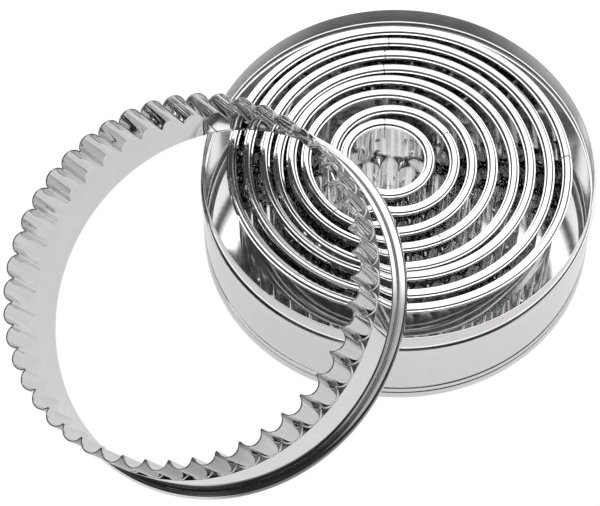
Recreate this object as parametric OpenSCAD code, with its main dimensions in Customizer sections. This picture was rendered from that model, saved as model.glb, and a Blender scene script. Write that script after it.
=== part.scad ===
// Set of nine fluted round biscuit cutters in a shallow round tin.
// Eight cutters stand in the tin with the cutting edges down and the rolled rims up.
// The ninth and largest leans on the tin with its rolled rim down on the table.
// Millimetres. The tin's axis is the Z axis, the table is z = 0 and the front is -Y.

/* [View] */
// Sub-part to show, or all of them

/* [Cutters] */
// Nominal radius of the smallest cutter, halfway between flute tips and flute valleys
first_r = 10; // [8:0.5:14]
// Even growth of the radius from one cutter to the next
step_r = 5; // [4.6:0.1:7]
// Depth of the flutes, tip to valley
flute_depth = 2.6; // [1.6:0.1:3]
// Length of cutting edge taken by one flute
flute_pitch = 6.83; // [6:0.05:9]
// Height of the fluted zone above the cutting edge
flute_h = 14.2; // [8:0.2:18]
// Thickness of the cutters' steel strip
strip_t = 0.4; // [0.3:0.05:0.5]
// Step from the fluted zone out to the plain band
lobe_inset = 0.05; // [0.03:0.01:0.2]
// Radius of the wire rolled into the rim
wire_r = 0.85; // [0.5:0.05:1]
// Clearance around the wire in the rim
wire_gap = 0.05; // [0.03:0.01:0.15]
// Bulge of the rim towards the inside of the ring
roll_bulge = 0.05; // [0.03:0.01:0.1]
// Width of the lap where the strip's ends meet
lap_w = 4; // [2:0.5:7]
// Width of the open joint in the rolled rim
rim_joint_w = 0.25; // [0.15:0.05:0.6]

/* [Tin] */
// Height of the tin
tin_h = 33; // [28:0.5:45]
// Thickness of the tin's sheet
tin_t = 0.3; // [0.2:0.05:0.5]
// Radius of the curl along the tin's top edge
hem_r = 0.3; // [0.25:0.05:0.7]
// Clearance between the largest cutter's rim and the curl when it is put away
store_gap = 0.75; // [0.3:0.05:2]
// Height of the drawn-in neck below the top edge
neck_h = 5.8; // [4:0.2:9]
// Height of the bead below the neck
bead_h = 2.7; // [1.6:0.1:4]
// Step from the neck out to the body
neck_step = 0.5; // [0.3:0.05:1.5]
// How far the beads stand out from the body
bead_out = 0.25; // [0.1:0.05:0.5]
// Height of the floor panel's upper face above the table
floor_z = 1.2; // [1:0.1:3]
// Height of the seam at the foot
seam_h = 2.85; // [2:0.05:4]
// Height of the bead above the seam
foot_bead_h = 2.3; // [1.5:0.1:4]
// Thickness of the seam outside the wall
seam_out = 0.35; // [0.25:0.05:0.6]
// Gap between the wall and the base in the seam
seam_gap = 0.05; // [0.03:0.01:0.1]
// Drop of the groove around the floor panel
groove_drop = 0.5; // [0.3:0.05:0.7]

/* [Arrangement] */
// How far the rims lie below the tin's top edge
rim_drop = 0.1; // [0:0.1:6]
// Distance from the tin's axis to the centre of the leaning cutter's rim, seen from above
lean_dist = 62.4; // [58:0.2:70]
// Direction of that centre seen from above, degrees
lean_az = 222.5; // [216:0.5:228]
// Direction in which the cutter leans, degrees
lean_dir = 218.1; // [212:0.1:226]
// Gap left between the leaning cutter's rim and the tin's curl
lean_gap = 0.2; // [0.1:0.05:0.5]

/* [Hidden] */
$fn = 96;
count = 9;
roll_r = wire_r + wire_gap + strip_t;
cut_h = tin_h - floor_z - rim_drop;

// How far each cutter's radius is from even growth
grow = [-0.45, -0.25, 1, 1, 0.85, 0.05, 0.15, -0.5, 0];
function nom_r(i) = first_r + step_r * (i - 1) + grow[i - 1];

// Plain band outside radius, valley radius and rim centre radius of cutter i
function band_r(i) = nom_r(i) + flute_depth / 2 + lobe_inset + strip_t / 2;
function tip_r(i) = band_r(i) - lobe_inset;
function valley_r(i) = tip_r(i) - flute_depth;
function roll_cr(i) = band_r(i) - strip_t - roll_bulge + roll_r;
function rim_out_r(i) = roll_cr(i) + roll_r;
function flutes(i) = round(2 * PI * nom_r(i) / flute_pitch);

// Radius of a flute's arc so that neighbouring arcs meet at the valley radius
function arc_r(i) =
    let (a = tip_r(i), b = valley_r(i), c = cos(180 / flutes(i)))
    (a * a + b * b - 2 * a * b * c) / (2 * (a - b * c));

// Tin radii follow the largest cutter
neck_r = rim_out_r(count) + store_gap + 2 * hem_r;
body_r = neck_r + neck_step;
wall_foot_r = body_r - 0.1;
seam_r = wall_foot_r + seam_gap + seam_out;
hem_cr = neck_r - hem_r;
hem_z = tin_h - hem_r;

// Free play between neighbouring cutters, and where each stands in the next larger one
function play(i) = nom_r(i + 1) - nom_r(i) - flute_depth - strip_t;
shift = [[-0.86, 0.14], [0.42, 0.23], [-0.42, -0.02], [-0.64, 0.6],
         [-0.31, -0.87], [-0.12, 0.27], [-0.19, 0.12], [0.06, 0.58]];
// Turn of each cutter, and how far past its first flute the lap seam lies, degrees
turn = [5, 17.9, 4, 2, 6, 3, 1, 5, -0.6];
lap_at = [91.5, 15.1, 227.5, 298.5, 92.8, 95.3, 95.5, 1.3, 125.1];

function place(i) = i > 8 ? [0, 0] : play(i) * shift[i - 1] + place(i + 1);

// Distance between the leaning rim and the tin's curl for a lean of th degrees
function lean_c(th, a) =
    let (n = [sin(th) * cos(lean_dir), sin(th) * sin(lean_dir), cos(th)],
         e1 = [cos(th) * cos(lean_dir), cos(th) * sin(lean_dir), -sin(th)],
         e2 = [-sin(lean_dir), cos(lean_dir), 0],
         p = [lean_dist * cos(lean_az), lean_dist * sin(lean_az), lean_z(th)])
    p + n * roll_r + roll_cr(count) * (cos(a) * e1 + sin(a) * e2);
function lean_z(th) = roll_cr(count) * sin(th) + roll_r - roll_r * cos(th);
function curl_gap(q) = norm([norm([q[0], q[1]]) - hem_cr, q[2] - hem_z]) - roll_r - hem_r;
function near(th) = min([for (a = [90:1:270]) curl_gap(lean_c(th, a))]);
function solve(lo, hi, k) =
    k == 0 ? (lo + hi) / 2 :
    near((lo + hi) / 2) > lean_gap ? solve(lo, (lo + hi) / 2, k - 1) :
    solve((lo + hi) / 2, hi, k - 1);
lean = solve(12, 50, 16);

module flute_outer(i) {
    n = flutes(i);
    circle(r = valley_r(i) - strip_t / 2);
    for (k = [0:n - 1]) {
        rotate([0, 0, k * 360 / n])
        translate([tip_r(i) - arc_r(i), 0])
        circle(r = arc_r(i));
    }
}

module flute_inner(i) {
    n = flutes(i);
    circle(r = valley_r(i) - strip_t);
    for (k = [0:n - 1]) {
        rotate([0, 0, k * 360 / n])
        translate([tip_r(i) - arc_r(i), 0])
        circle(r = arc_r(i) - strip_t);
    }
}

// One cutter, cutting edge at z = 0 and rim at the top, before it is put in its place
module strip(i) {
    // Fluted zone
    linear_extrude(height = flute_h - strip_t)
    difference() {
        flute_outer(i);
        flute_inner(i);
    }
    // Ledge that closes the flutes under the plain band
    translate([0, 0, flute_h - strip_t])
    linear_extrude(height = strip_t)
    difference() {
        circle(r = band_r(i));
        flute_inner(i);
    }
    // Plain band and rolled rim with its open joint
    difference() {
        rotate_extrude()
        difference() {
            union() {
                translate([band_r(i) - strip_t, flute_h])
                square([strip_t, cut_h - roll_r - flute_h]);
                translate([roll_cr(i), cut_h - roll_r])
                circle(r = roll_r);
            }
            translate([roll_cr(i), cut_h - roll_r])
            circle(r = roll_r - strip_t);
        }
        rotate([0, 0, lap_at[i - 1]])
        translate([band_r(i) + strip_t, -rim_joint_w / 2, cut_h - 2 * roll_r - 1])
        cube([2 * roll_r, rim_joint_w, 2 * roll_r + 2]);
    }
    // Lap of the strip's ends on the outside of the band
    rotate([0, 0, lap_at[i - 1]])
    rotate_extrude(angle = lap_w / band_r(i) * 180 / PI)
    translate([band_r(i) - strip_t / 2, flute_h + strip_t])
    square([strip_t * 1.5, cut_h - 2 * roll_r - flute_h - strip_t]);
}

module wire(i) {
    translate([0, 0, cut_h - roll_r])
    rotate_extrude()
    translate([roll_cr(i), 0])
    circle(r = wire_r);
}

// Puts cutter i in its place in the tin, or leaning on it for the last one
module put(i) {
    if (i < count) {
        translate([place(i)[0], place(i)[1], floor_z])
        rotate([0, 0, turn[i - 1]])
        children();
    }
    if (i == count) {
        translate([lean_dist * cos(lean_az), lean_dist * sin(lean_az), lean_z(lean)])
        rotate([0, lean, lean_dir])
        rotate([180, 0, 0])
        translate([0, 0, -cut_h])
        rotate([0, 0, turn[i - 1]])
        children();
    }
}

module steel_strip(i) {
    color("#c9cbcd")
    put(i)
    strip(i);
}

module steel_wire(i) {
    color("#8d9094")
    put(i)
    wire(i);
}

module tin_wall() {
    b0 = seam_h;
    b1 = seam_h + foot_bead_h;
    n1 = tin_h - neck_h;
    n0 = n1 - bead_h;
    outline = [[wall_foot_r, 0.6 + seam_gap], [wall_foot_r, b0],
               [body_r + bead_out * 0.8, b0 + 0.25], [body_r + bead_out, b0 + 0.8],
               [body_r + bead_out, b1 - 0.8], [body_r + bead_out * 0.8, b1 - 0.3],
               [body_r, b1], [body_r, n0],
               [body_r + bead_out * 0.8, n0 + 0.3], [body_r + bead_out, n0 + 0.9],
               [body_r + bead_out, n1 - 0.9], [body_r + bead_out * 0.6, n1 - 0.3],
               [neck_r, n1 + 0.2], [neck_r, hem_z]];
    inside = [for (k = [len(outline) - 1:-1:0]) [outline[k][0] - tin_t, outline[k][1]]];
    color("#d3d4d5")
    rotate_extrude()
    union() {
        polygon(concat(outline, inside));
        translate([hem_cr - 0.02, hem_z])
        circle(r = hem_r);
    }
}

module tin_base() {
    panel_r = wall_foot_r - 1.5;
    g = floor_z - groove_drop;
    color("#c4c6c8")
    rotate_extrude()
    polygon([[0, floor_z - tin_t], [panel_r - tin_t, floor_z - tin_t],
             [panel_r + 0.1, g - tin_t], [panel_r + 0.5, g - tin_t],
             [panel_r + 0.6, 0.2], [panel_r + 0.8, 0],
             [seam_r - 0.2, 0], [seam_r, 0.2],
             [seam_r, seam_h - 0.3], [seam_r - 0.1, seam_h - 0.1],
             [wall_foot_r + seam_gap, seam_h - 0.1], [wall_foot_r + seam_gap, 0.6],
             [panel_r + 1, 0.6], [panel_r + 0.8, g],
             [panel_r + 0.3, g], [panel_r, floor_z],
             [0, floor_z]]);
}

module cutter_1() { steel_strip(1); }
module cutter_2() { steel_strip(2); }
module cutter_3() { steel_strip(3); }
module cutter_4() { steel_strip(4); }
module cutter_5() { steel_strip(5); }
module cutter_6() { steel_strip(6); }
module cutter_7() { steel_strip(7); }
module cutter_8() { steel_strip(8); }
module cutter_9() { steel_strip(9); }
module rim_wire_1() { steel_wire(1); }
module rim_wire_2() { steel_wire(2); }
module rim_wire_3() { steel_wire(3); }
module rim_wire_4() { steel_wire(4); }
module rim_wire_5() { steel_wire(5); }
module rim_wire_6() { steel_wire(6); }
module rim_wire_7() { steel_wire(7); }
module rim_wire_8() { steel_wire(8); }
module rim_wire_9() { steel_wire(9); }

tin_wall();
tin_base();
cutter_1();
cutter_2();
cutter_3();
cutter_4();
cutter_5();
cutter_6();
cutter_7();
cutter_8();
cutter_9();
rim_wire_1();
rim_wire_2();
rim_wire_3();
rim_wire_4();
rim_wire_5();
rim_wire_6();
rim_wire_7();
rim_wire_8();
rim_wire_9();
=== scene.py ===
import math
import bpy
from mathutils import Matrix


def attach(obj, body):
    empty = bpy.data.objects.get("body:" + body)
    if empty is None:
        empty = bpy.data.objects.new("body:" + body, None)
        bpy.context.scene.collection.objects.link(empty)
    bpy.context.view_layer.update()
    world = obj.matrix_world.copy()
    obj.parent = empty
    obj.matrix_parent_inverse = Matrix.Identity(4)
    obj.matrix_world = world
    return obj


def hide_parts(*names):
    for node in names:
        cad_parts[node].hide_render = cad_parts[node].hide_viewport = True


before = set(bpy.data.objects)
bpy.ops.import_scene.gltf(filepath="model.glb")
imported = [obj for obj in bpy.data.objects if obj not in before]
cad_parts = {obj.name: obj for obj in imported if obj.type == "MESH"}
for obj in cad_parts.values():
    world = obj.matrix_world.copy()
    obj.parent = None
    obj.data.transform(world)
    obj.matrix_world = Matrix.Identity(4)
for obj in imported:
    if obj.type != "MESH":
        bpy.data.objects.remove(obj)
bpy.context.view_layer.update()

import bpy
import numpy as np
from mathutils import Matrix, Vector

MM = 0.001

# Number and sizes of the cutters as in the part's source, in mm
COUNT = 9
FIRST_R = 10.0
STEP_R = 5.0
FLUTE_DEPTH = 2.6
FLUTE_PITCH = 6.83
FLUTE_H = 14.2
STRIP_T = 0.4
LOBE_INSET = 0.05
WIRE_R = 0.85
WIRE_GAP = 0.05
ROLL_BULGE = 0.05
LAP_W = 4.0
ROLL = WIRE_R + WIRE_GAP + STRIP_T

# Sizes of the tin as in the part's source, in mm
TIN_H = 33.0
TIN_T = 0.3
HEM_R = 0.3
STORE_GAP = 0.75
NECK_STEP = 0.5
NECK_H = 5.8
BEAD_H = 2.7
BEAD_OUT = 0.25
FLOOR_Z = 1.2
SEAM_H = 2.85
FOOT_BEAD_H = 2.3
SEAM_OUT = 0.35
SEAM_GAP = 0.05
GROOVE_DROP = 0.5
RIM_DROP = 0.1
CUT_H = TIN_H - FLOOR_Z - RIM_DROP

# The leaning cutter, in mm and degrees: where its rim stands, which way it leans, its gap to the curl
LEAN_DIST = 62.4
LEAN_AZ = 222.5
LEAN_DIR = 218.1
LEAN_GAP = 0.2
# the range in which its lean is searched for, and how often that range is halved
LEAN_RANGE = (12, 50)
LEAN_HALVINGS = 16

# For each cutter, from the smallest: its radius beyond the even step, its turn and the angle of its lap
GROW = [-0.45, -0.25, 1, 1, 0.85, 0.05, 0.15, -0.5, 0]
TURN = [5, 17.9, 4, 2, 6, 3, 1, 5, -0.6]
LAP_AT = [91.5, 15.1, 227.5, 298.5, 92.8, 95.3, 95.5, 1.3, 125.1]
# how far its rim is out of round, in mm: all over, along the axes, along the diagonals
OVAL = [(-0.01, 0.01, -0.18), (-0.01, 0.0, -0.2), (-0.09, 0.09, -0.23),
        (-0.09, 0.09, -0.35), (-0.02, 0.0, -0.23), (-0.1, 0.1, -0.32),
        (-0.16, 0.16, -0.44), (0.0, 0.38, -0.2), (0.0, 0.0, 0.0)]
# where each nested cutter lies in its larger neighbour, as shares of the gap between them
SHIFT = [(-0.86, 0.14), (0.42, 0.23), (-0.42, -0.02), (-0.64, 0.6),
         (-0.31, -0.87), (-0.12, 0.27), (-0.19, 0.12), (0.06, 0.58)]

# Details of the scene's sheets, in mm
WAIST = 0.32
FOOT_FILLET = 0.3
EDGE_BEVEL = 0.14
JOINT_W = 0.14
BAND_ROWS = (17.5, 20.5, 24.0)
SPOT_R = 0.75
SPOT_ROWS = (18.5, 24.0)
GUTTER = 0.9
# size of the waves that make the ring, its rim, its ledge and the tin's wall uneven, in mm
RING_WAVE = 0.10
RIM_WAVE = 0.05
LEDGE_WAVE = 0.05
WALL_WAVE = 0.08
# scatter of the flutes' depth in mm, and of their place as a share of half a flute
DEPTH_SCATTER = 0.05
PLACE_SCATTER = 0.008
# corners of a weld spot, and steps round the tin
SPOT_CORNERS = 14
RING_STEPS = 420


def nom_r(i):
    return FIRST_R + STEP_R * (i - 1) + GROW[i - 1]


def band_r(i):
    return nom_r(i) + FLUTE_DEPTH / 2 + LOBE_INSET + STRIP_T / 2


def tip_r(i):
    return band_r(i) - LOBE_INSET


def valley_r(i):
    return tip_r(i) - FLUTE_DEPTH


def roll_cr(i):
    return band_r(i) - STRIP_T - ROLL_BULGE + ROLL


def flutes(i):
    return int(math.floor(2 * math.pi * nom_r(i) / FLUTE_PITCH + 0.5))


def arc_r(i):
    """Radius of the arc of one flute, through its tip and the valleys on either side."""
    a, b, c = tip_r(i), valley_r(i), math.cos(math.pi / flutes(i))
    return (a * a + b * b - 2 * a * b * c) / (2 * (a - b * c))


NECK_R = roll_cr(COUNT) + ROLL + STORE_GAP + 2 * HEM_R
BODY_R = NECK_R + NECK_STEP
FOOT_R = BODY_R - 0.1
SEAM_R = FOOT_R + SEAM_GAP + SEAM_OUT


def nest_places():
    """Centres of the nested cutters, from the smallest."""
    places = []
    centre = np.zeros(2)
    for i in range(COUNT - 1, 0, -1):
        gap = nom_r(i + 1) - nom_r(i) - FLUTE_DEPTH - STRIP_T
        centre = centre + gap * np.array(SHIFT[i - 1])
        places.insert(0, centre)
    return places


def lean_frame(th):
    """Middle of the leaning cutter's rim end, its axis and two directions across it, for a lean of th."""
    d = math.radians(LEAN_DIR)
    n = np.array([math.sin(th) * math.cos(d), math.sin(th) * math.sin(d), math.cos(th)])
    e1 = np.array([math.cos(th) * math.cos(d), math.cos(th) * math.sin(d), -math.sin(th)])
    e2 = np.array([-math.sin(d), math.cos(d), 0.0])
    z = roll_cr(COUNT) * math.sin(th) + ROLL - ROLL * math.cos(th)
    a = math.radians(LEAN_AZ)
    return np.array([LEAN_DIST * math.cos(a), LEAN_DIST * math.sin(a), z]), n, e1, e2


def lean_near(th):
    """Smallest distance between the leaning rim and the tin's curl."""
    p, n, e1, e2 = lean_frame(th)
    a = np.radians(np.arange(90, 271, 1))[:, None]
    q = p + n * ROLL + roll_cr(COUNT) * (np.cos(a) * e1 + np.sin(a) * e2)
    g = np.hypot(np.hypot(q[:, 0], q[:, 1]) - (NECK_R - HEM_R), q[:, 2] - (TIN_H - HEM_R))
    return g.min() - ROLL - HEM_R


def solve_lean():
    """Lean at which the rim is LEAN_GAP clear of the curl, found by halving the range."""
    low, high = (math.radians(a) for a in LEAN_RANGE)
    for _ in range(LEAN_HALVINGS):
        mid = (low + high) / 2
        if lean_near(mid) > LEAN_GAP:
            high = mid
        else:
            low = mid
    return (low + high) / 2


PLACES = nest_places()
LEAN = solve_lean()


def placement(i):
    """Matrix that takes a cutter (cutting edge at z = 0, rim up) to its place, in mm."""
    if i < COUNT:
        return Matrix.Translation((PLACES[i - 1][0], PLACES[i - 1][1], FLOOR_Z))
    p = lean_frame(LEAN)[0]
    return (Matrix.Translation(p) @ Matrix.Rotation(math.radians(LEAN_DIR), 4, "Z")
            @ Matrix.Rotation(LEAN, 4, "Y") @ Matrix.Rotation(math.pi, 4, "X")
            @ Matrix.Translation((0, 0, -CUT_H)))


# Mesh helpers

def make_object(name, verts, faces, uvs, slots, sharp, mats):
    """Object from vertices in metres, with a UV for each face corner and a material slot for each face."""
    me = bpy.data.meshes.new(name)
    me.from_pydata([tuple(v) for v in verts], [], faces)
    layer = me.uv_layers.new(name="UVMap")
    layer.data.foreach_set("uv", np.asarray(uvs, dtype=np.float32).ravel())
    for m in mats:
        me.materials.append(m)
    me.polygons.foreach_set("material_index", np.asarray(slots, dtype=np.int32))
    me.polygons.foreach_set("use_smooth", np.ones(len(me.polygons), dtype=bool))
    me.update()
    me.set_sharp_from_angle(angle=math.radians(sharp))
    ob = bpy.data.objects.new(name, me)
    bpy.context.scene.collection.objects.link(ob)
    return ob


def wrap_grid(points, closed=True):
    """Quads of a grid of points (nu, nv, 3): u goes round the ring, v round the section, which is closed."""
    nu, nv = points.shape[:2]
    faces = []
    for a in range(nu if closed else nu - 1):
        b = (a + 1) % nu
        for c in range(nv):
            d = (c + 1) % nv
            faces.append((a * nv + c, b * nv + c, b * nv + d, a * nv + d))
    return faces


def grid_uvs(faces, nv, u_pos, v_pos):
    """UVs in metres for every corner of a closed grid's faces."""
    uv = np.empty((len(faces) * 4, 2), dtype=np.float32)
    k = 0
    for f in faces:
        a, c = divmod(f[0], nv)
        for p, q in ((a, c), (a + 1, c), (a + 1, c + 1), (a, c + 1)):
            uv[k] = (u_pos[p], v_pos[q])
            k += 1
    return uv


def run_lengths(section):
    """Running length round a closed section [(r, z)] in mm, given in metres."""
    seg = np.hypot(*np.diff(np.vstack([section, section[:1]]), axis=0).T)
    return np.concatenate([[0], np.cumsum(seg)]) * MM


def revolve(name, profile, mats, spans=None, wobble=None):
    """Closed profile [(r, z)] in mm turned about the Z axis, with a material slot for each of its spans."""
    prof = np.asarray(profile, dtype=float)
    th = np.linspace(0, 2 * math.pi, RING_STEPS, endpoint=False)
    r = prof[None, :, 0] + (wobble(th, prof) if wobble else np.zeros((RING_STEPS, 1)))
    pts = np.empty((RING_STEPS, len(prof), 3))
    pts[:, :, 0] = r * np.cos(th)[:, None]
    pts[:, :, 1] = r * np.sin(th)[:, None]
    pts[:, :, 2] = prof[None, :, 1]
    faces = wrap_grid(pts)
    u_pos = np.arange(RING_STEPS + 1) / RING_STEPS * 2 * math.pi * prof[:, 0].max() * MM
    uv = grid_uvs(faces, len(prof), u_pos, run_lengths(prof))
    slots = np.tile(spans or [0] * len(prof), RING_STEPS)
    return make_object(name, pts.reshape(-1, 3) * MM, faces, uv, slots, 40.0, mats)


def arc(cx, cz, r, a0, a1, n):
    t = np.radians(np.linspace(a0, a1, n))
    return [(cx + r * math.cos(x), cz + r * math.sin(x)) for x in t]


def smooth(x):
    x = np.clip(x, 0, 1)
    return x * x * (3 - 2 * x)


def periodic_noise(th, g, terms, amp):
    """Sum of waves round the ring with random sizes and phases, scaled so that its largest value is amp."""
    out = np.zeros_like(th)
    for k in terms:
        out += g.normal(0, 1) * np.cos(k * th + g.uniform(0, 2 * math.pi)) / k ** 0.5
    s = np.abs(out).max()
    return out / s * amp if s > 0 else out


# Shader helpers

def feed(tree, socket, value):
    """Link an output to the socket, or set the socket to a constant."""
    if isinstance(value, bpy.types.NodeSocket):
        tree.links.new(value, socket)
    else:
        socket.default_value = value


def math_node(tree, op, a, b=None, c=None, clamp=False):
    nd = tree.nodes.new("ShaderNodeMath")
    nd.operation = op
    nd.use_clamp = clamp
    for k, v in enumerate((a, b, c)):
        if v is not None:
            feed(tree, nd.inputs[k], v)
    return nd.outputs[0]


def range_node(tree, value, source, target, kind="LINEAR"):
    """Value taken from the range source to the range target."""
    nd = tree.nodes.new("ShaderNodeMapRange")
    nd.interpolation_type = kind
    feed(tree, nd.inputs["Value"], value)
    feed(tree, nd.inputs["From Min"], source[0])
    feed(tree, nd.inputs["From Max"], source[1])
    feed(tree, nd.inputs["To Min"], target[0])
    feed(tree, nd.inputs["To Max"], target[1])
    return nd.outputs[0]


def scale_node(tree, vector, factor):
    nd = tree.nodes.new("ShaderNodeVectorMath")
    nd.operation = "SCALE"
    feed(tree, nd.inputs[0], vector)
    feed(tree, nd.inputs["Scale"], factor)
    return nd.outputs[0]


def noise_node(tree, vector, scale, detail, roughness=0.5):
    nd = tree.nodes.new("ShaderNodeTexNoise")
    feed(tree, nd.inputs["Vector"], vector)
    feed(tree, nd.inputs["Scale"], scale)
    feed(tree, nd.inputs["Detail"], detail)
    feed(tree, nd.inputs["Roughness"], roughness)
    return nd.outputs["Fac"]


def stretch_node(tree, vector, u_scale, v_scale):
    nd = tree.nodes.new("ShaderNodeMapping")
    feed(tree, nd.inputs[0], vector)
    feed(tree, nd.inputs["Scale"], (u_scale, v_scale, 1.0))
    return nd.outputs[0]


def bump_node(tree, height, distance, strength=1.0, normal=None):
    nd = tree.nodes.new("ShaderNodeBump")
    feed(tree, nd.inputs["Strength"], strength)
    feed(tree, nd.inputs["Distance"], distance)
    feed(tree, nd.inputs["Height"], height)
    if normal is not None:
        feed(tree, nd.inputs["Normal"], normal)
    return nd.outputs[0]


def side_fade(tree, place, fade):
    """Factor that goes from 1 to fade's share towards one side of a point, used for painted shade."""
    away = tree.nodes.new("ShaderNodeVectorMath")
    away.operation = "SUBTRACT"
    feed(tree, away.inputs[0], place)
    feed(tree, away.inputs[1], fade["point"])
    side = tree.nodes.new("ShaderNodeVectorMath")
    side.operation = "DOT_PRODUCT"
    feed(tree, side.inputs[0], away.outputs[0])
    az = math.radians(fade["azimuth"])
    feed(tree, side.inputs[1], (math.cos(az), math.sin(az), 0.0))
    return range_node(tree, side.outputs["Value"], fade["reach"], (1.0, fade["share"]), "SMOOTHSTEP")


# Materials

def metal(name, color, rough, streak, bump, dirt, waviness=0.0, ribs=None, metallic=1.0, fade=None):
    """Sheet metal: lines along the strip, cloudy shade, small marks and, if asked for, ribs across it."""
    mat = bpy.data.materials.new(name)
    mat.use_nodes = True
    tree = mat.node_tree
    tree.nodes.clear()
    out = tree.nodes.new("ShaderNodeOutputMaterial")
    bsdf = tree.nodes.new("ShaderNodeBsdfPrincipled")
    tree.links.new(bsdf.outputs[0], out.inputs[0])
    uv_map = tree.nodes.new("ShaderNodeUVMap")
    uv_map.uv_map = "UVMap"
    uv = uv_map.outputs[0]
    place = tree.nodes.new("ShaderNodeTexCoord").outputs["Object"]
    # lines left by rolling, drawn out along the strip; cloudy shade; fine marks from handling
    lines = noise_node(tree, stretch_node(tree, uv, 30.0, 4500.0), 1.0, 3.0, 0.6)
    cloud = noise_node(tree, place, 160.0, 4.0)
    marks = noise_node(tree, place, 900.0, 6.0, 0.7)
    shade = math_node(tree, "MULTIPLY", range_node(tree, lines, (0.3, 0.7), (1.0 - streak, 1.0 + streak)),
                      range_node(tree, cloud, (0.35, 0.7), (1.0, 1.0 - dirt)))
    # painted shade: darker towards one side of a point
    if fade:
        shade = math_node(tree, "MULTIPLY", shade, side_fade(tree, place, fade))
    normal = bump_node(tree, lines, 0.00002, bump)
    if waviness > 0:
        normal = bump_node(tree, noise_node(tree, place, 70.0, 1.0), waviness, normal=normal)
    if ribs:
        # fine lines across the strip, left by the forming rolls
        u_scale, v_scale, height, tone = ribs
        rib = noise_node(tree, stretch_node(tree, uv, u_scale, v_scale), 1.0, 3.0, 0.65)
        normal = bump_node(tree, rib, height, normal=normal)
        rib_tone = range_node(tree, rib, (0.3, 0.7), (1.0 - tone, 1.0 + tone))
        shade = math_node(tree, "MULTIPLY", shade, rib_tone)
    feed(tree, bsdf.inputs["Metallic"], metallic)
    feed(tree, bsdf.inputs["Base Color"], scale_node(tree, color, shade))
    feed(tree, bsdf.inputs["Roughness"], range_node(tree, marks, (0.3, 0.75), rough))
    feed(tree, bsdf.inputs["Normal"], normal)
    return mat


def paint_light_on_sides(mat, metallic, reach, share):
    """Painted light: less metallic and paler towards the tin's left and right, only to match the photo."""
    tree = mat.node_tree
    bsdf = next(n for n in tree.nodes if n.type == "BSDF_PRINCIPLED")
    split = tree.nodes.new("ShaderNodeSeparateXYZ")
    tree.links.new(tree.nodes.new("ShaderNodeTexCoord").outputs["Object"], split.inputs[0])
    across = math_node(tree, "ABSOLUTE", split.outputs["X"])
    level = range_node(tree, across, reach, (metallic, 0.0), "SMOOTHSTEP")
    paler = range_node(tree, level, (metallic, 0.0), (1.0, share))
    color = bsdf.inputs["Base Color"].links[0].from_socket
    feed(tree, bsdf.inputs["Metallic"], level)
    feed(tree, bsdf.inputs["Base Color"], scale_node(tree, color, paler))


# Painted shade in two tones, set only to match the photo and with no cause in the scene's light: the leaning
# cutter's roll gets darker towards azimuth -42, and its flutes outside towards azimuth -102
ROLL_PAINTED_SHADE = {"point": tuple((placement(COUNT) @ Vector((0.0, 0.0, CUT_H))) * MM), "azimuth": -42,
             "reach": (0.033, 0.043), "share": 0.3}
FLUTE_PAINTED_SHADE = {"point": tuple((placement(COUNT) @ Vector((0.0, 0.0, 0.0))) * MM), "azimuth": -102,
              "reach": (0.034, 0.044), "share": 0.55}
RIM_COLOR = (0.76, 0.759, 0.762)
INSIDE_COLOR = (0.72, 0.735, 0.742)
INSIDE_METALLIC = 0.66

# The cutters' materials, in the order of their slots
CUTTER_MATS = {
    "strip": metal("steel_strip", (0.738, 0.737, 0.74), (0.02, 0.05), 0.02, 0.02, 0.03, waviness=0.00004,
                   ribs=(900.0, 18.0, 0.000006, 0.02)),
    "flute": metal("steel_flutes", (0.728, 0.727, 0.73), (0.03, 0.07), 0.02, 0.02, 0.04, waviness=0.00005,
                   ribs=(1500.0, 40.0, 0.000014, 0.06)),
    "edge": metal("steel_cut_edge", (0.52, 0.515, 0.518), (0.14, 0.22), 0.03, 0.1, 0.02),
    "spot": metal("steel_weld_spot", (0.34, 0.32, 0.30), (0.25, 0.4), 0.05, 0.1, 0.2),
    "rim": metal("steel_rim", RIM_COLOR, (0.008, 0.022), 0.01, 0.01, 0.02),
    # painted shade: the ledge over the flutes is near black
    "ledge": metal("steel_ledge_painted_shade", (0.13, 0.131, 0.134), (0.08, 0.14), 0.03, 0.03, 0.06, waviness=0.00003),
    # painted shade: near black for the pressed line and the gap under the curled edge
    "line": metal("steel_rim_line_painted_shade", (0.2, 0.2, 0.204), (0.2, 0.3), 0.05, 0.08, 0.1),
    # flutes outside, with painted shade towards one side of the leaning cutter
    "outer": metal("steel_flutes_outside_painted_shade", (0.61, 0.612, 0.62), (0.04, 0.09), 0.02, 0.02, 0.05,
                   waviness=0.00005, ribs=(1500.0, 40.0, 0.000014, 0.08), fade=FLUTE_PAINTED_SHADE),
    # rim steel with painted shade, darker towards one side, for the leaning cutter's roll
    "roll_shade": metal("steel_rim_painted_shade", RIM_COLOR, (0.01, 0.03), 0.01, 0.01, 0.02, fade=ROLL_PAINTED_SHADE),
    # painted highlight: a pale, mostly matt fillet at the foot of the flutes, bright under any light
    "foot": metal("steel_flute_foot_painted_highlight", (0.96, 0.96, 0.96), (0.15, 0.25), 0.02, 0.02, 0.02, metallic=0.15),
}
SLOT = {key: k for k, key in enumerate(CUTTER_MATS)}

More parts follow.
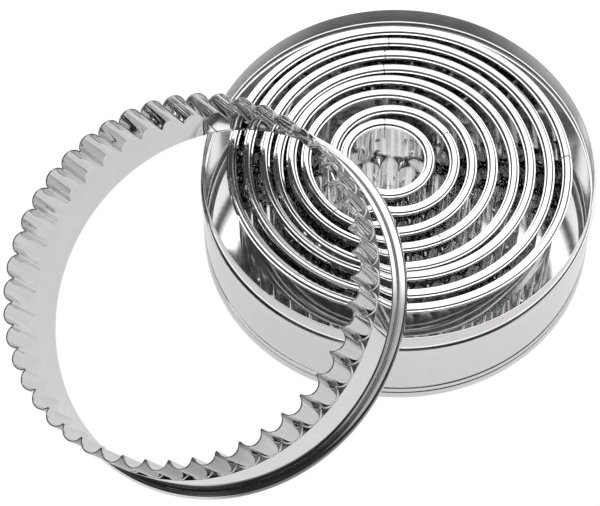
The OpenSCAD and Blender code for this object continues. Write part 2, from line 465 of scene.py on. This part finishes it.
# The tin's wall, in the order of its slots: outside, crease (painted shade), inside,
# hollow of the bead (painted light), neck inside (painted light at the sides)
OUTSIDE, CREASE, INSIDE, HOLLOW, NECK = range(5)
TIN_MATS = (
    metal("tinplate_outside", (0.72, 0.712, 0.712), (0.05, 0.10), 0.012, 0.03, 0.03, waviness=0.00003),
    # painted shade: near black for the creases
    metal("tinplate_crease_painted_shade", (0.10, 0.097, 0.094), (0.35, 0.55), 0.03, 0.1, 0.1),
    metal("tinplate_inside", INSIDE_COLOR, (0.06, 0.12), 0.012, 0.03, 0.03, waviness=0.00003,
          metallic=INSIDE_METALLIC),
    # painted light: paler, fully metallic copy of the inside tinplate for the bead's hollow
    metal("tinplate_bead_inside_painted_light", (0.82, 0.82, 0.82), (0.10, 0.16), 0.012, 0.03, 0.02, waviness=0.00003),
    metal("tinplate_neck_inside_painted_light", INSIDE_COLOR, (0.06, 0.12), 0.012, 0.03, 0.03, waviness=0.00003,
          metallic=INSIDE_METALLIC),
)
# painted light on the neck inside, paler towards the left and right
paint_light_on_sides(TIN_MATS[NECK], INSIDE_METALLIC, (0.018, 0.046), 1.34)
BASE_MAT = metal("tinplate_base", (0.72, 0.719, 0.722), (0.08, 0.16), 0.012, 0.03, 0.04, waviness=0.00003)
WIRE_MAT = metal("steel_wire", (0.52, 0.51, 0.51), (0.2, 0.32), 0.05, 0.1, 0.08)


# Cutters

def outline_samples(i, seed):
    """Angles round the ring with the outer and inner radius of the fluted strip at each."""
    n = flutes(i)
    rl = arc_r(i)
    a = tip_r(i) - rl
    rc = valley_r(i)
    half = math.pi / n
    cusp = np.array([rc * math.cos(half) - a, rc * math.sin(half)])
    psi_max = math.atan2(cusp[1], cusp[0])
    al_t = math.atan2((rl - STRIP_T) * math.sin(psi_max), a + (rl - STRIP_T) * math.cos(psi_max))
    psi = np.linspace(-psi_max, psi_max, 19)
    al = np.arctan2(rl * np.sin(psi), a + rl * np.cos(psi))
    nose = math.asin(min(0.95, STRIP_T / rc))
    extra = half - nose * np.array([0.85, 0.55, 0.25])
    al = np.unique(np.round(np.concatenate([al[1:-1], extra, -extra, [-half]]), 9))
    g = np.random.default_rng(seed)
    th, ro, ri = [], [], []
    for k in range(n):
        # each flute's depth and place are a little off
        jd = g.normal(0, DEPTH_SCATTER)
        jt = g.normal(0, PLACE_SCATTER) * half
        for x in al:
            ax = abs(x)
            outer = a * math.cos(ax) + math.sqrt(max(0.0, rl * rl - (a * math.sin(ax)) ** 2))
            if ax < al_t:
                inner = a * math.cos(ax) + math.sqrt(max(0.0, (rl - STRIP_T) ** 2 - (a * math.sin(ax)) ** 2))
            else:
                b = half - ax
                s = min(rc * math.sin(b), STRIP_T * 0.999)
                inner = rc * math.cos(b) - math.sqrt(STRIP_T * STRIP_T - s * s)
            w = (ax / half) ** 2
            sh = jd * (1 - w)
            th.append(2 * math.pi * k / n + x + jt * (1 - w))
            ro.append(outer - abs(sh) * 0.6)
            ri.append(inner - abs(sh) * 0.6)
    return np.array(th), np.array(ro), np.array(ri)


def ring_samples(i, lap):
    """Angles and radii in order of angle, with closer samples at the lap and at the joint of the rim."""
    turn = 2 * math.pi
    th, ro, ri = outline_samples(i, 50 + i)
    th = th % turn
    order = np.argsort(th)
    th, ro, ri = th[order], ro[order], ri[order]
    jw = JOINT_W / band_r(i)
    lap_a = LAP_W / band_r(i)
    fine = lap + np.array([-3 * jw, -1.6 * jw, -jw, -0.5 * jw, 0, 0.5 * jw, jw, 1.6 * jw, 3 * jw])
    more = np.concatenate([fine, lap + lap_a * np.linspace(0.1, 1.0, 5), [lap + lap_a + 0.6 * jw]]) % turn
    known = np.concatenate([th - turn, th, th + turn])
    all_t = np.unique(np.round(np.concatenate([th, more]), 7))
    all_t = all_t[np.concatenate([[True], np.diff(all_t) > 1e-5])]
    return all_t, np.interp(all_t, known, np.tile(ro, 3)), np.interp(all_t, known, np.tile(ri, 3))


def roll_profile():
    """Section of the rolled rim about its centre, in mm, from the curled edge round to the inside.

    A round core with a pressed line, painted dark as shade, and a narrow shoulder on either side.
    """
    def round_part(a0, a1, count):
        angles = np.radians(np.linspace(a0, a1, count))
        return [(ROLL * math.cos(a), ROLL * math.sin(a), "core") for a in angles]

    outside = [(1.3, 0.2, "roll"), (1.3, 0.5, "roll"), (0.93, 0.545, "line"), (0.9, 0.6, "line"),
               (0.87, 0.72, "line"), (0.83, 0.96, "line")]
    inside = [(-0.79, 1.0, "line"), (-0.93, 0.74, "line"), (-1.03, 0.5, "line"), (-1.4, 0.4, "roll"),
              (-1.4, 0.25, "roll"), (-1.3, -0.3, "roll")]
    return round_part(250, 360, 13) + outside + round_part(52, 126, 17) + inside


def strip_columns(i, th, ro, ri, lap, rim_wave, ledge):
    """Closed section of the strip: radius and height of each point round the ring, and its tag."""
    rb = band_r(i)
    cz = CUT_H - ROLL
    cx = roll_cr(i)
    columns, tags = [], []

    def add(r, z, tag):
        columns.append((np.broadcast_to(r, th.shape).copy(), np.broadcast_to(z, th.shape).copy()))
        tags.append(tag)

    flute_rows = np.linspace(2.0, FLUTE_H - STRIP_T - 1.2, 4)
    # outside, from the cutting edge up to the flat ledge over the flutes
    zl = FLUTE_H - STRIP_T + ledge
    add(ro - 0.13, 0.0, "edge")
    add(ro, EDGE_BEVEL, "outer")
    for z in flute_rows:
        add(ro, z, "outer")
    # the flutes draw in a little before the ledge, so that it shows as a line over their crests too
    waist = np.minimum(ro, rb - WAIST)
    for f, z in ((0.1, -0.62), (0.45, -0.46), (0.8, -0.34), (1.0, -0.2)):
        add(ro + (waist - ro) * f, zl + z, "outer")
    # fillet at the foot of the flutes, with a painted highlight
    add(waist + 0.03, zl - 0.13, "foot")
    add(waist + 0.12, zl - 0.03, "foot")
    add(waist + np.minimum(FOOT_FILLET, 0.5 * (rb - waist)), zl, "foot")
    # the ledge spans take the near black material, painted shade
    add(waist + 0.55 * (rb - waist), zl + 0.005, "ledge")
    add(rb - 0.12, zl + 0.01, "ledge")
    add(rb - 0.06, zl + 0.015, "ledge")
    add(rb - 0.03, zl + 0.05, "band")
    for z in (0.16, 0.3):
        add(rb, zl + z, "band")
    for z in (FLUTE_H + 0.9,) + BAND_ROWS + (cz - 1.9,):
        add(rb, z, "band")
    # narrow gap between the band and the curled edge, then round the roll and down the inside
    add(rb, cz - 1.30, "band")
    gap = rb - cx
    # these spans of the gap are painted dark as shade
    for x, z in ((gap - 0.02, -1.20), (gap + 0.06, -0.98), (-0.58, -0.98), (-0.50, -1.17)):
        add(cx + x, cz + z, "line")
    # at the joint the roll has a groove, and after it a step that fades out
    d = ((th - lap + math.pi) % (2 * math.pi) - math.pi) * rb
    groove = np.exp(-(d / 0.13) ** 2)
    step = np.where((d > 0) & (d < 5), smooth(d / 0.12) * (1 - smooth((d - 1.0) / 4.0)), 0.0)
    for x, z, tag in roll_profile():
        rho, ang = math.hypot(x, z), math.atan2(z, x)
        rr = rho * (1 - 0.17 * groove) + 0.05 * step * max(0.0, math.cos(ang - 0.35))
        add(cx + rr * math.cos(ang), cz + rr * math.sin(ang) - np.abs(rim_wave) * 0.5, tag)
    add(rb - STRIP_T, cz - 0.8, "band")
    for z in BAND_ROWS[::-1]:
        add(rb - STRIP_T, z, "band")
    # inside, the band runs into the flutes in a slope
    for f in np.linspace(0.0, 1.0, 9):
        add(rb - STRIP_T + (ri - (rb - STRIP_T)) * smooth(f), FLUTE_H + 2.2 - 2.45 * f + ledge, "flute")
    for z in flute_rows[::-1]:
        add(ri, z, "flute")
    add(ri, EDGE_BEVEL, "flute")
    add(ri + 0.10, 0.0, "edge")
    return columns, tags


def span_material(t0, t1, leaning):
    """Material of the span between two neighbouring points of the strip's section, from their tags."""
    rolled = ("roll", "line", "core")
    if t0 == "edge" and t1 == "edge":
        return "edge"
    if t0 == "line" and t1 == "line":
        return "line"
    if t0 == "core" and t1 == "core" and leaning:
        # the core of the leaning cutter's roll takes the rim steel with painted shade
        return "roll_shade"
    if t0 in rolled and t1 in rolled:
        return "rim"
    if t0 == "foot" and t1 == "foot":
        return "foot"
    if t0 in ("foot", "ledge") and t1 == "ledge":
        return "ledge"
    if "outer" in (t0, t1):
        return "outer"
    if "flute" in (t0, t1) or "edge" in (t0, t1):
        return "flute"
    return "strip"


def strip_sheet(i, lap):
    """Vertices, faces, UVs and slots of the strip itself."""
    g = np.random.default_rng(100 + i)
    th, ro, ri = ring_samples(i, lap)
    # unevenness of the whole ring, of its rim and of its ledge
    uneven = periodic_noise(th, g, (2, 3, 5), RING_WAVE)
    rim_wave = periodic_noise(th, g, (3, 4, 7, 11), RIM_WAVE)
    ledge = periodic_noise(th, g, (4, 9, 17, 31), LEDGE_WAVE)
    columns, tags = strip_columns(i, th, ro, ri, lap, rim_wave, ledge)
    mean, axial, diagonal = OVAL[i - 1]
    az = th + math.radians(TURN[i - 1])
    bent = mean + axial * np.cos(2 * az) + diagonal * np.sin(2 * az)
    points = np.empty((len(th), len(columns), 3))
    for c, (r, z) in enumerate(columns):
        hold = 0.25 if tags[c] in ("roll", "line", "core") else 0.9
        rr = r - np.abs(uneven) * hold * 0.6 + bent * smooth((z - FLUTE_H) / 10.0)
        points[:, c] = np.stack([rr * np.cos(th), rr * np.sin(th), z], axis=1)
    faces = wrap_grid(points)
    spans = [SLOT[span_material(t, tags[(c + 1) % len(tags)], i == COUNT)] for c, t in enumerate(tags)]
    u_pos = np.concatenate([th, [2 * math.pi + th[0]]]) * band_r(i) * MM
    section = np.array([[r.mean(), z.mean()] for r, z in columns])
    uv = grid_uvs(faces, len(columns), u_pos, run_lengths(section))
    return points.reshape(-1, 3), faces, uv, np.tile(spans, len(th))


def lap_sheet(i, lap):
    """The lap: a second thickness of strip over a few millimetres, outside the band."""
    rb = band_r(i)
    angles = lap + np.linspace(0, LAP_W / rb, 9)
    z0, z1 = FLUTE_H + STRIP_T + 0.15, CUT_H - 2 * ROLL - 0.15
    section = [(rb - 0.05, z0), (rb + STRIP_T * 0.9, z0 + 0.05), (rb + STRIP_T, z0 + 0.25),
               (rb + STRIP_T, (z0 + z1) / 2), (rb + STRIP_T, z1 - 0.25), (rb + STRIP_T * 0.9, z1 - 0.05),
               (rb - 0.05, z1)]
    n = len(section)
    points = np.array([[(r * math.cos(x), r * math.sin(x), z) for r, z in section] for x in angles])
    verts = points.reshape(-1, 3)
    faces = wrap_grid(points, closed=False)
    faces += [tuple(range(n - 1, -1, -1)), tuple((len(angles) - 1) * n + c for c in range(n))]
    uv = [(angles[v // n] * rb * MM, verts[v][2] * MM) for f in faces for v in f]
    return verts, faces, np.array(uv, dtype=np.float32), [SLOT["strip"]] * len(faces)


def weld_spot(i, lap, height):
    """A round spot weld on the inside of the lap."""
    r = band_r(i) - STRIP_T - 0.02
    middle = lap + LAP_W / band_r(i) * 0.5
    verts = [(r * math.cos(middle), r * math.sin(middle), height)]
    for m in range(SPOT_CORNERS):
        a = 2 * math.pi * m / SPOT_CORNERS
        x = middle + SPOT_R * math.cos(a) / r
        verts.append((r * math.cos(x), r * math.sin(x), height + SPOT_R * math.sin(a)))
    faces = [(0, 1 + (m + 1) % SPOT_CORNERS, 1 + m) for m in range(SPOT_CORNERS)]
    uv = [(verts[v][0] * MM, verts[v][2] * MM) for f in faces for v in f]
    return np.array(verts), faces, np.array(uv, dtype=np.float32), [SLOT["spot"]] * len(faces)


def build_cutter(i):
    lap = math.radians(LAP_AT[i - 1])
    sheets = [strip_sheet(i, lap), lap_sheet(i, lap)]
    if i < COUNT:
        sheets += [weld_spot(i, lap, z) for z in SPOT_ROWS]
    faces = []
    offset = 0
    for verts, own_faces, _, _ in sheets:
        faces += [tuple(v + offset for v in f) for f in own_faces]
        offset += len(verts)
    verts = np.vstack([s[0] for s in sheets])
    uv = np.vstack([s[2] for s in sheets])
    slots = np.concatenate([s[3] for s in sheets])
    m = np.array(placement(i) @ Matrix.Rotation(math.radians(TURN[i - 1]), 4, "Z"))
    in_place = verts @ m[:3, :3].T + m[:3, 3]
    ob = make_object(f"cutter_{i}_strip", in_place * MM, faces, uv, slots, 30.0, CUTTER_MATS.values())
    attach(ob, f"cutter_{i}_body")
    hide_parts(f"cutter_{i}")


for number in range(1, COUNT + 1):
    build_cutter(number)
    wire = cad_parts[f"rim_wire_{number}"]
    wire.data.materials.clear()
    wire.data.materials.append(WIRE_MAT)


# Tin

def tin_wall_profile():
    """Outline of the wall, and the material slot of each of its spans."""
    b0, b1 = SEAM_H, SEAM_H + FOOT_BEAD_H
    n1 = TIN_H - NECK_H
    n0 = n1 - BEAD_H
    top = BODY_R + BEAD_OUT
    # outside, upwards: foot, foot bead between two creases, body, bead, crease, neck
    outer = [(FOOT_R, 0.66), (FOOT_R, b0 - 0.12), (FOOT_R - 0.05, b0 + 0.02)]
    low = len(outer) - 1
    outer += [(FOOT_R + 0.02, b0 + 0.16)]
    outer += [(BODY_R + BEAD_OUT * f, b0 + z) for f, z in ((0.35, 0.26), (0.8, 0.5), (1.0, 0.95))]
    upper = ((1.0, 0.95), (0.85, 0.55), (0.45, 0.3), (0.05, 0.16))
    outer += [(BODY_R + BEAD_OUT * f, b1 - z) for f, z in upper]
    outer += [(BODY_R - 0.16, b1 - 0.02)]
    mid = len(outer) - 1
    outer += [(BODY_R - 0.1, b1 + 0.18), (BODY_R, b1 + 0.5)]
    outer += [(BODY_R, z) for z in np.linspace(b1 + 2.5, n0 - 1.2, 6)]
    outer += [(BODY_R, n0 - 0.3), (BODY_R + BEAD_OUT * 0.12, n0)]
    outer += [(BODY_R + BEAD_OUT * f, n0 + z) for f, z in ((0.3, 0.25), (0.6, 0.7), (0.85, 1.3))]
    outer += [(top, n1 - 0.75), (top - 0.02, n1 - 0.35), (top - 0.07, n1 - 0.12), (top - 0.17, n1 - 0.02)]
    outer += [(NECK_R + 0.28, n1 - 0.06), (NECK_R - 0.02, n1 - 0.14), (NECK_R - 0.06, n1 - 0.02)]
    high = len(outer) - 1
    outer += [(NECK_R - 0.01, n1 + 0.12), (NECK_R, n1 + 0.8)]
    outer += [(NECK_R, z) for z in np.linspace(n1 + 1.7, TIN_H - 0.9, 4)]
    # inside, the neck ends in a fine ridge, and the bead is a gutter whose floor curves in to a lip
    neck_in, body_in = NECK_R - TIN_T, BODY_R - TIN_T
    inner = [(r - TIN_T, z) for r, z in outer if z < n0 - 1.1]
    inner += [(body_in, n0 - 1.0), (body_in - GUTTER + 0.12, n0 - 0.1)]
    inner += arc(body_in + 0.05 - GUTTER, n0 + GUTTER, GUTTER, -80, 0, 10)
    inner += [(body_in + 0.1, n1 - 0.6), (neck_in + 0.1, n1 - 0.1), (neck_in - 0.28, n1 + 0.1),
              (neck_in - 0.35, n1 + 0.24), (neck_in - 0.06, n1 + 0.38), (neck_in, n1 + 0.55)]
    inner += [(r - TIN_T, z) for r, z in outer if z > n1 + 0.7]
    # the edge is turned in tight, with a fine line of painted shade under it
    edge = [(NECK_R - 0.10, TIN_H - 0.74), (NECK_R - 0.10, TIN_H - 0.66), (NECK_R - 0.02, TIN_H - 0.54),
            (NECK_R, TIN_H - 0.42)]
    last = len(outer) - 1
    # the spans in these creases are painted near black as shade
    creases = (low, mid, high - 1, high, last + 1, last + 2)
    lip = arc(NECK_R - TIN_T / 2, TIN_H - TIN_T / 2, TIN_T / 2, 0, 180, 9)
    front = len(outer) + len(edge) + len(lip) - 1
    points = outer + edge + lip + [(NECK_R - TIN_T, TIN_H - 0.5)] + inner[::-1]
    spans = [CREASE if c in creases else OUTSIDE if c < front else INSIDE for c in range(len(points))]
    for c in range(front, len(points) - 1):
        z_from, z_to = points[c][1], points[c + 1][1]
        # the bead's hollow takes the paler tinplate, painted light
        if n0 - 0.9 < z_to and z_from < n0 + 0.6:
            spans[c] = HOLLOW
        elif z_to > n1 + 0.5:
            spans[c] = NECK
    return points, spans


def tin_wobble(th, prof):
    """Slow unevenness of the wall, inwards only, least at the foot and the edge."""
    w = periodic_noise(th, np.random.default_rng(3), (2, 3, 5, 8), WALL_WAVE)
    share = 0.3 + 0.7 * np.sin(np.pi * np.clip(prof[:, 1] / TIN_H, 0, 1))
    return -np.abs(w)[:, None] * share[None, :] * 0.5


def tin_base_profile():
    """Outline of the base: underside from the middle out, seam, and back over the floor panel."""
    pr = FOOT_R - 1.5
    g0 = FLOOR_Z - GROOVE_DROP
    under = FLOOR_Z - TIN_T
    slot_r = FOOT_R + SEAM_GAP
    return [(0.0, under), (pr * 0.5, under), (pr - TIN_T - 0.2, under), (pr - TIN_T + 0.05, under - 0.06),
            (pr + 0.05, g0 - TIN_T + 0.12), (pr + 0.2, g0 - TIN_T), (pr + 0.5, g0 - TIN_T), (pr + 0.58, 0.3),
            (pr + 0.66, 0.1), (pr + 0.85, 0.0), (SEAM_R - 0.3, 0.0), (SEAM_R - 0.1, 0.07), (SEAM_R, 0.28),
            (SEAM_R, 1.4), (SEAM_R - 0.02, SEAM_H - 0.5), (SEAM_R - 0.08, SEAM_H - 0.22),
            (SEAM_R - 0.2, SEAM_H - 0.1), (slot_r, SEAM_H - 0.12), (slot_r, 0.6), (pr + 1.0, 0.6),
            (pr + 0.82, g0 - 0.05), (pr + 0.75, g0 + 0.02), (pr + 0.35, g0 + 0.02), (pr + 0.22, g0 + 0.08),
            (pr + 0.05, FLOOR_Z - 0.1), (pr - 0.1, FLOOR_Z), (pr - 0.6, FLOOR_Z), (pr * 0.75, FLOOR_Z),
            (pr * 0.4, FLOOR_Z), (0.0, FLOOR_Z)]


wall_line, wall_spans = tin_wall_profile()
wall = revolve("tin_wall_sheet", wall_line, TIN_MATS, wall_spans, tin_wobble)
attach(wall, "tin")
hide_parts("tin_wall")

base = revolve("tin_base_plate", tin_base_profile(), (BASE_MAT,))
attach(base, "tin")
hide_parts("tin_base")


# Floor, surround and camera

def floor_material():
    """Glows white to the camera and less so in reflections; its matt rest takes the object's shadow."""
    mat = bpy.data.materials.new("floor_white")
    mat.use_nodes = True
    tree = mat.node_tree
    tree.nodes.clear()
    out = tree.nodes.new("ShaderNodeOutputMaterial")
    rays = tree.nodes.new("ShaderNodeLightPath")
    tint = tree.nodes.new("ShaderNodeMix")
    tint.data_type = "RGBA"
    feed(tree, tint.inputs[0], rays.outputs["Is Glossy Ray"])
    feed(tree, tint.inputs[6], (1.0, 1.0, 1.0, 1))
    feed(tree, tint.inputs[7], (0.985, 0.975, 0.967, 1))
    glow = tree.nodes.new("ShaderNodeEmission")
    feed(tree, glow.inputs["Color"], tint.outputs[2])
    feed(tree, glow.inputs["Strength"], 1.035)
    matt = tree.nodes.new("ShaderNodeBsdfDiffuse")
    feed(tree, matt.inputs["Color"], (0.86, 0.86, 0.86, 1))
    in_glossy = math_node(tree, "MULTIPLY", rays.outputs["Is Glossy Ray"], 0.55)
    share = math_node(tree, "MULTIPLY_ADD", rays.outputs["Is Camera Ray"], 0.93, in_glossy)
    both = tree.nodes.new("ShaderNodeMixShader")
    feed(tree, both.inputs[0], share)
    tree.links.new(matt.outputs[0], both.inputs[1])
    tree.links.new(glow.outputs[0], both.inputs[2])
    tree.links.new(both.outputs[0], out.inputs[0])
    return mat


def build_floor(size=6.0):
    s = size / 2
    me = bpy.data.meshes.new("floor")
    me.from_pydata([(-s, -s, 0), (s, -s, 0), (s, s, 0), (-s, s, 0)], [], [(0, 1, 2, 3)])
    me.materials.append(floor_material())
    ob = bpy.data.objects.new("floor", me)
    bpy.context.scene.collection.objects.link(ob)
    ob.location = (0, 0, -0.00002)


def by_angle(tree, around, stops, ends):
    """Grey value by angle in degrees: 0 to the right, 90 straight behind; ends is the value at the left."""
    nd = tree.nodes.new("ShaderNodeValToRGB")
    for k in (0, 1):
        nd.color_ramp.elements[k].color = (ends, ends, ends, 1)
    for angle, value in stops:
        nd.color_ramp.elements.new(angle / 360 + 0.5).color = (value, value, value, 1)
    feed(tree, nd.inputs[0], around)
    return nd.outputs[0]


def background(tree, color):
    nd = tree.nodes.new("ShaderNodeBackground")
    feed(tree, nd.inputs[0], color)
    feed(tree, nd.inputs[1], 1.0)
    return nd.outputs[0]


def build_world():
    """White to the camera. The metal sees soft light overhead and behind, and a dark band round the horizon.

    The band's height and depth by angle were set to match the photo's reflections.
    """
    world = bpy.data.worlds.new("studio")
    bpy.context.scene.world = world
    world.use_nodes = True
    tree = world.node_tree
    tree.nodes.clear()
    out = tree.nodes.new("ShaderNodeOutputWorld")
    direction = tree.nodes.new("ShaderNodeTexCoord").outputs["Generated"]
    sep = tree.nodes.new("ShaderNodeSeparateXYZ")
    tree.links.new(direction, sep.inputs[0])
    angle = math_node(tree, "ARCTAN2", sep.outputs["Y"], sep.outputs["X"])
    around = math_node(tree, "MULTIPLY_ADD", angle, 0.5 / math.pi, 0.5)
    # sine of the elevation at the band's top, highest in front and at the left
    top = by_angle(tree, around, ((-160, 0.85), (-110, 0.86), (-90, 0.80), (-60, 0.74), (-40, 0.77),
                                  (-20, 0.62), (0, 0.58), (20, 0.58), (40, 0.58), (62, 0.3), (80, 0.0),
                                  (110, 0.0), (130, 0.4), (143, 0.5), (165, 0.78)), 0.82)
    # the width over which the band's top fades is larger in front
    width = math_node(tree, "ADD", math_node(tree, "MULTIPLY", sep.outputs["Y"], -0.16, clamp=True), 0.036)
    lift = math_node(tree, "DIVIDE", math_node(tree, "SUBTRACT", sep.outputs["Z"], top), width)
    light = range_node(tree, math_node(tree, "ADD", lift, 0.5), (0.0, 1.0), (0.0, 1.0), "SMOOTHSTEP")
    # the band is blotchy, and lightest behind
    blot = noise_node(tree, direction, 3.2, 2.0)
    patch = range_node(tree, blot, (0.42, 0.72), (0.6, 2.2), "SMOOTHSTEP")
    depth = by_angle(tree, around, ((-150, 0.06), (-100, 0.12), (-80, 0.14), (-60, 0.06), (-20, 0.08),
                                    (35, 0.12), (60, 0.2), (120, 0.3), (150, 0.26), (170, 0.1)), 0.06)
    shade = scale_node(tree, (0.92, 0.95, 1.0), math_node(tree, "MULTIPLY", patch, depth))
    sky = tree.nodes.new("ShaderNodeMix")
    sky.data_type = "RGBA"
    feed(tree, sky.inputs[0], light)
    feed(tree, sky.inputs[6], shade)
    feed(tree, sky.inputs[7], (1.9, 1.9, 1.9, 1))
    rays = tree.nodes.new("ShaderNodeLightPath")
    both = tree.nodes.new("ShaderNodeMixShader")
    feed(tree, both.inputs[0], rays.outputs["Is Glossy Ray"])
    tree.links.new(background(tree, (1, 1, 1, 1)), both.inputs[1])
    tree.links.new(background(tree, sky.outputs[2]), both.inputs[2])
    tree.links.new(both.outputs[0], out.inputs[0])


def build_camera():
    """The camera solved from the photo: focal length in pixels of a 600 pixel wide picture, place in mm."""
    focal_px, picture_px, sensor = 2200, 600, 36.0
    place = Vector((0, -338.6, 549.85))
    yaw, pitch, roll = -0.0827, 1.0311, -0.0148
    data = bpy.data.cameras.new("camera")
    data.sensor_fit = "HORIZONTAL"
    data.sensor_width = sensor
    data.lens = focal_px / picture_px * sensor
    data.clip_start = 0.01
    data.clip_end = 20
    ob = bpy.data.objects.new("camera", data)
    bpy.context.scene.collection.objects.link(ob)
    fwd = Vector((math.sin(yaw) * math.cos(pitch), math.cos(yaw) * math.cos(pitch), -math.sin(pitch)))
    right = fwd.cross(Vector((0, 0, 1))).normalized()
    up = right.cross(fwd)
    x_axis = right * math.cos(roll) + up * math.sin(roll)
    y_axis = up * math.cos(roll) - right * math.sin(roll)
    ob.matrix_world = Matrix.Translation(place * MM) @ Matrix((x_axis, y_axis, -fwd)).transposed().to_4x4()
    bpy.context.scene.camera = ob


build_floor()
build_world()
build_camera()
bpy.context.scene.view_settings.view_transform = "Standard"
bpy.context.scene.cycles.max_bounces = 16
bpy.context.scene.cycles.glossy_bounces = 14

bpy.context.view_layer.update()
